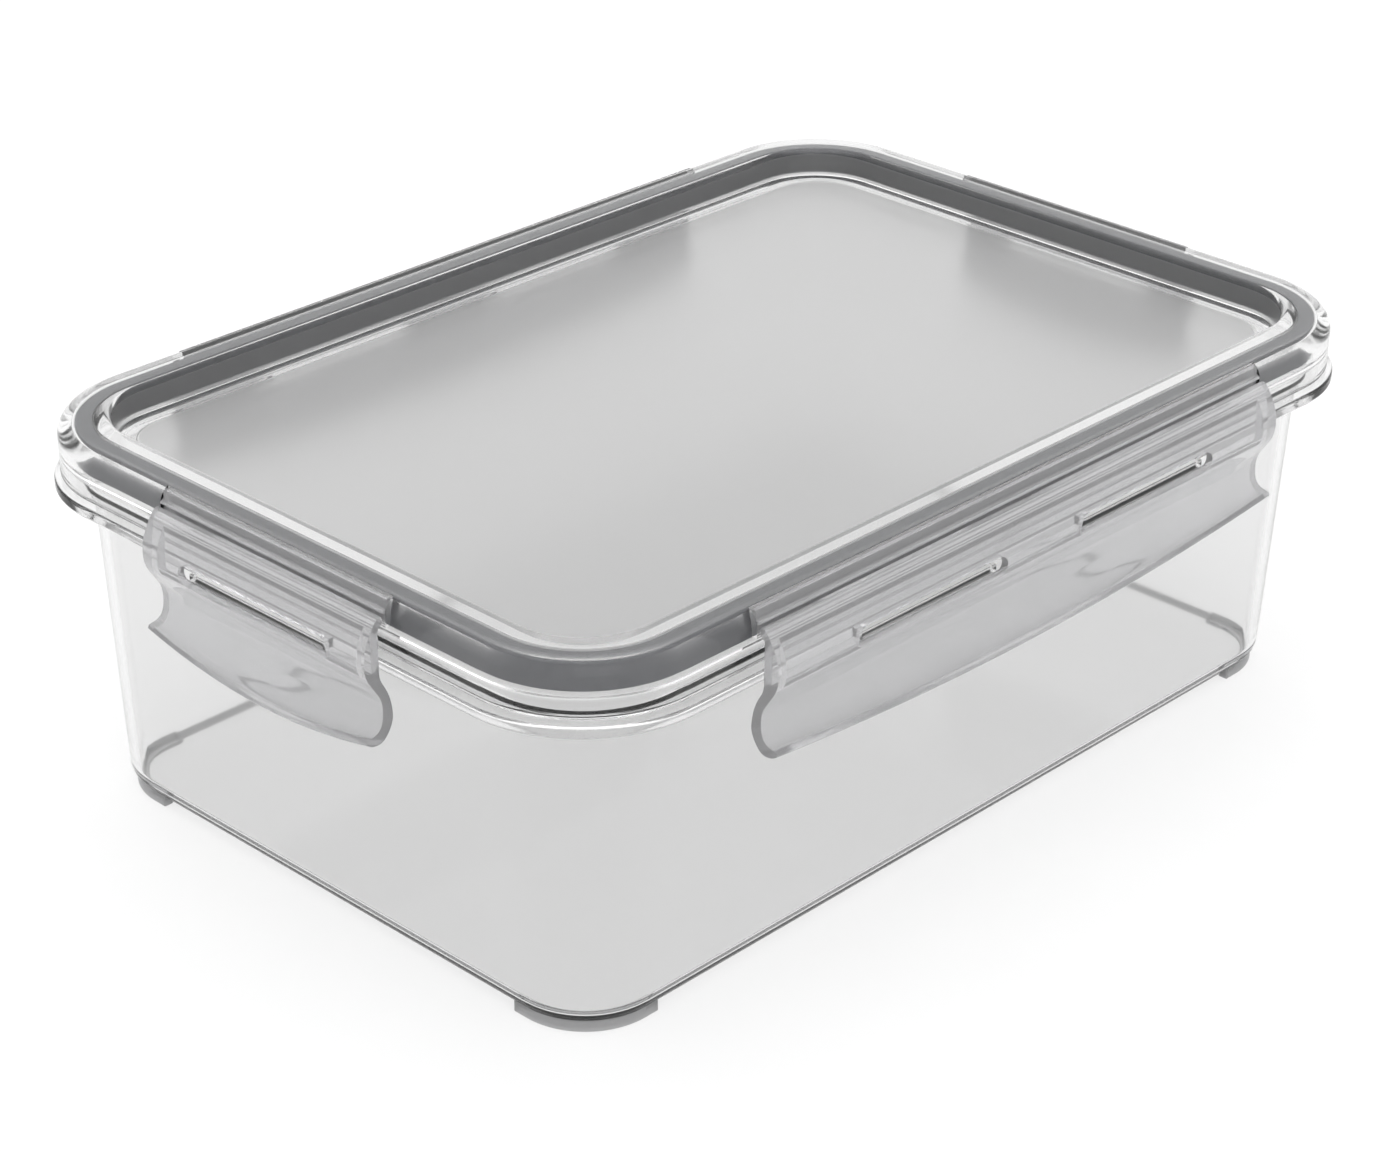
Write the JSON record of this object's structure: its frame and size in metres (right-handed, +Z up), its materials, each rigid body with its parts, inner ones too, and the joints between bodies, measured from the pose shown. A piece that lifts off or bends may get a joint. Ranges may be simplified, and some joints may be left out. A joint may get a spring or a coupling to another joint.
{
  "type": "snap-lid food container",
  "caption": "Low rectangular clear plastic food container with rounded corners, a recessed lid, a dark sealing gasket and a hinged snap latch on each side.",
  "frame": {"origin": "middle of the footprint, on the surface the tub stands on", "axes": "+Z up; X along the long side; Y along the short side, with the front latch facing -Y"},
  "size_m": [0.2376, 0.1662, 0.08],
  "materials": {
    "tub_plastic": "clear polypropylene, polished mould finish",
    "lid_plastic": "clear plastic with a fine frosted field on the panel",
    "silicone": "dark grey satin silicone",
    "latch_plastic": "translucent natural polypropylene, polished"
  },
  "bodies": {
    "tub": {"tub": "tub_plastic", "lug_front_left": "tub_plastic", "lug_front_right": "tub_plastic", "lug_back_left": "tub_plastic", "lug_back_right": "tub_plastic", "lug_left": "tub_plastic", "lug_right": "tub_plastic"},
    "lid": {"lid": "lid_plastic", "gasket": "silicone", "latch_leaf_front": "latch_plastic", "latch_leaf_back": "latch_plastic", "latch_leaf_left": "latch_plastic", "latch_leaf_right": "latch_plastic"},
    "flap_front": {"latch_flap_front": "latch_plastic"},
    "flap_back": {"latch_flap_back": "latch_plastic"},
    "flap_left": {"latch_flap_left": "latch_plastic"},
    "flap_right": {"latch_flap_right": "latch_plastic"}
  },
  "joints": [
    {"name": "lid_lift", "type": "slide", "parent": "tub", "child": "lid", "axis": [0, 0, 1], "range_m": [0, 0.01]},
    {"name": "latch_front", "type": "hinge", "parent": "lid", "child": "flap_front", "pos_m": [0, -0.079, 0.0769], "axis": [-1, 0, 0], "range_deg": [0, 140]},
    {"name": "latch_back", "type": "hinge", "parent": "lid", "child": "flap_back", "pos_m": [0, 0.079, 0.0769], "axis": [1, 0, 0], "range_deg": [0, 140]},
    {"name": "latch_left", "type": "hinge", "parent": "lid", "child": "flap_left", "pos_m": [-0.11465, 0, 0.0769], "axis": [0, 1, 0], "range_deg": [0, 140]},
    {"name": "latch_right", "type": "hinge", "parent": "lid", "child": "flap_right", "pos_m": [0.11465, 0, 0.0769], "axis": [0, -1, 0], "range_deg": [0, 140]}
  ],
  "couplings": [
    {"joint": "latch_front", "follows": "lid_lift", "rad_per_m": 240},
    {"joint": "latch_back", "follows": "lid_lift", "rad_per_m": 240},
    {"joint": "latch_left", "follows": "lid_lift", "rad_per_m": 240},
    {"joint": "latch_right", "follows": "lid_lift", "rad_per_m": 240}
  ]
}
